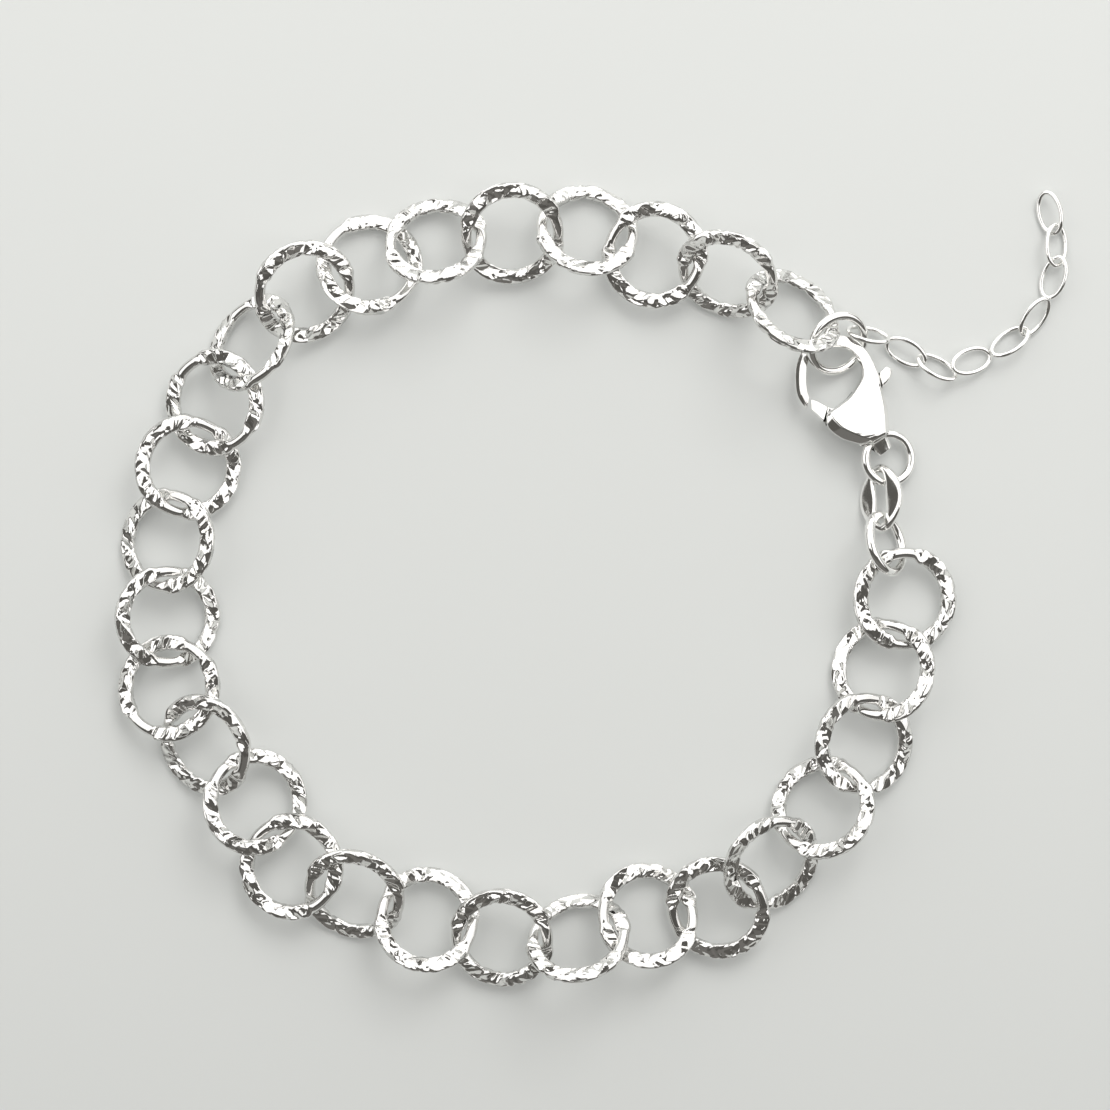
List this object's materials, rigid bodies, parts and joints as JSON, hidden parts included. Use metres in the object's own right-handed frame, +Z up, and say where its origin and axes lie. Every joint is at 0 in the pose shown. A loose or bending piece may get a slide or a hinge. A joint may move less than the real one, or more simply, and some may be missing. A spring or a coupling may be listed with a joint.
{
  "type": "circle link bracelet",
  "caption": "Polished silver bracelet of interlocked hammered round links, lying closed with a lobster clasp and a short oval-link extension chain.",
  "frame": {"origin": "on the surface that the bracelet lies on, under the middle of its bounding box", "axes": "+Z up, off the surface; +X towards the clasp's side of the loop; +Y towards the end of the loop where the extension chain runs out"},
  "size_m": [0.074, 0.0624, 0.0063],
  "materials": {
    "hammered_silver": "polished sterling silver, hammered into bright facets",
    "polished_silver": "smooth polished sterling silver"
  },
  "bodies": {
    "bracelet": {"link_01": "hammered_silver", "link_02": "hammered_silver", "link_03": "hammered_silver", "link_04": "hammered_silver", "link_05": "hammered_silver", "link_06": "hammered_silver", "link_07": "hammered_silver", "link_08": "hammered_silver", "link_09": "hammered_silver", "link_10": "hammered_silver", "link_11": "hammered_silver", "link_12": "hammered_silver", "link_13": "hammered_silver", "link_14": "hammered_silver", "link_15": "hammered_silver", "link_16": "hammered_silver", "link_17": "hammered_silver", "link_18": "hammered_silver", "link_19": "hammered_silver", "link_20": "hammered_silver", "link_21": "hammered_silver", "link_22": "hammered_silver", "link_23": "hammered_silver", "link_24": "hammered_silver", "link_25": "hammered_silver", "link_26": "hammered_silver", "link_27": "hammered_silver", "link_28": "hammered_silver", "clasp_ring": "polished_silver", "tail_ring": "polished_silver", "end_ring": "polished_silver", "leaf_connector": "polished_silver", "clasp_body": "polished_silver", "ext_link_1": "polished_silver", "ext_link_2": "polished_silver", "ext_link_3": "polished_silver", "ext_link_4": "polished_silver", "ext_link_5": "polished_silver", "ext_link_6": "polished_silver", "ext_link_7": "polished_silver", "ext_link_8": "polished_silver", "ext_link_9": "polished_silver"},
    "lever": {"clasp_lever": "polished_silver"}
  },
  "joints": [
    {"name": "lever_hinge", "type": "hinge", "parent": "bracelet", "child": "lever", "pos_m": [0.02055, 0.01445, 0.00125], "axis": [0, 0, -1], "range_deg": [0, 20], "stiffness_Nm_per_rad": 0.002}
  ]
}
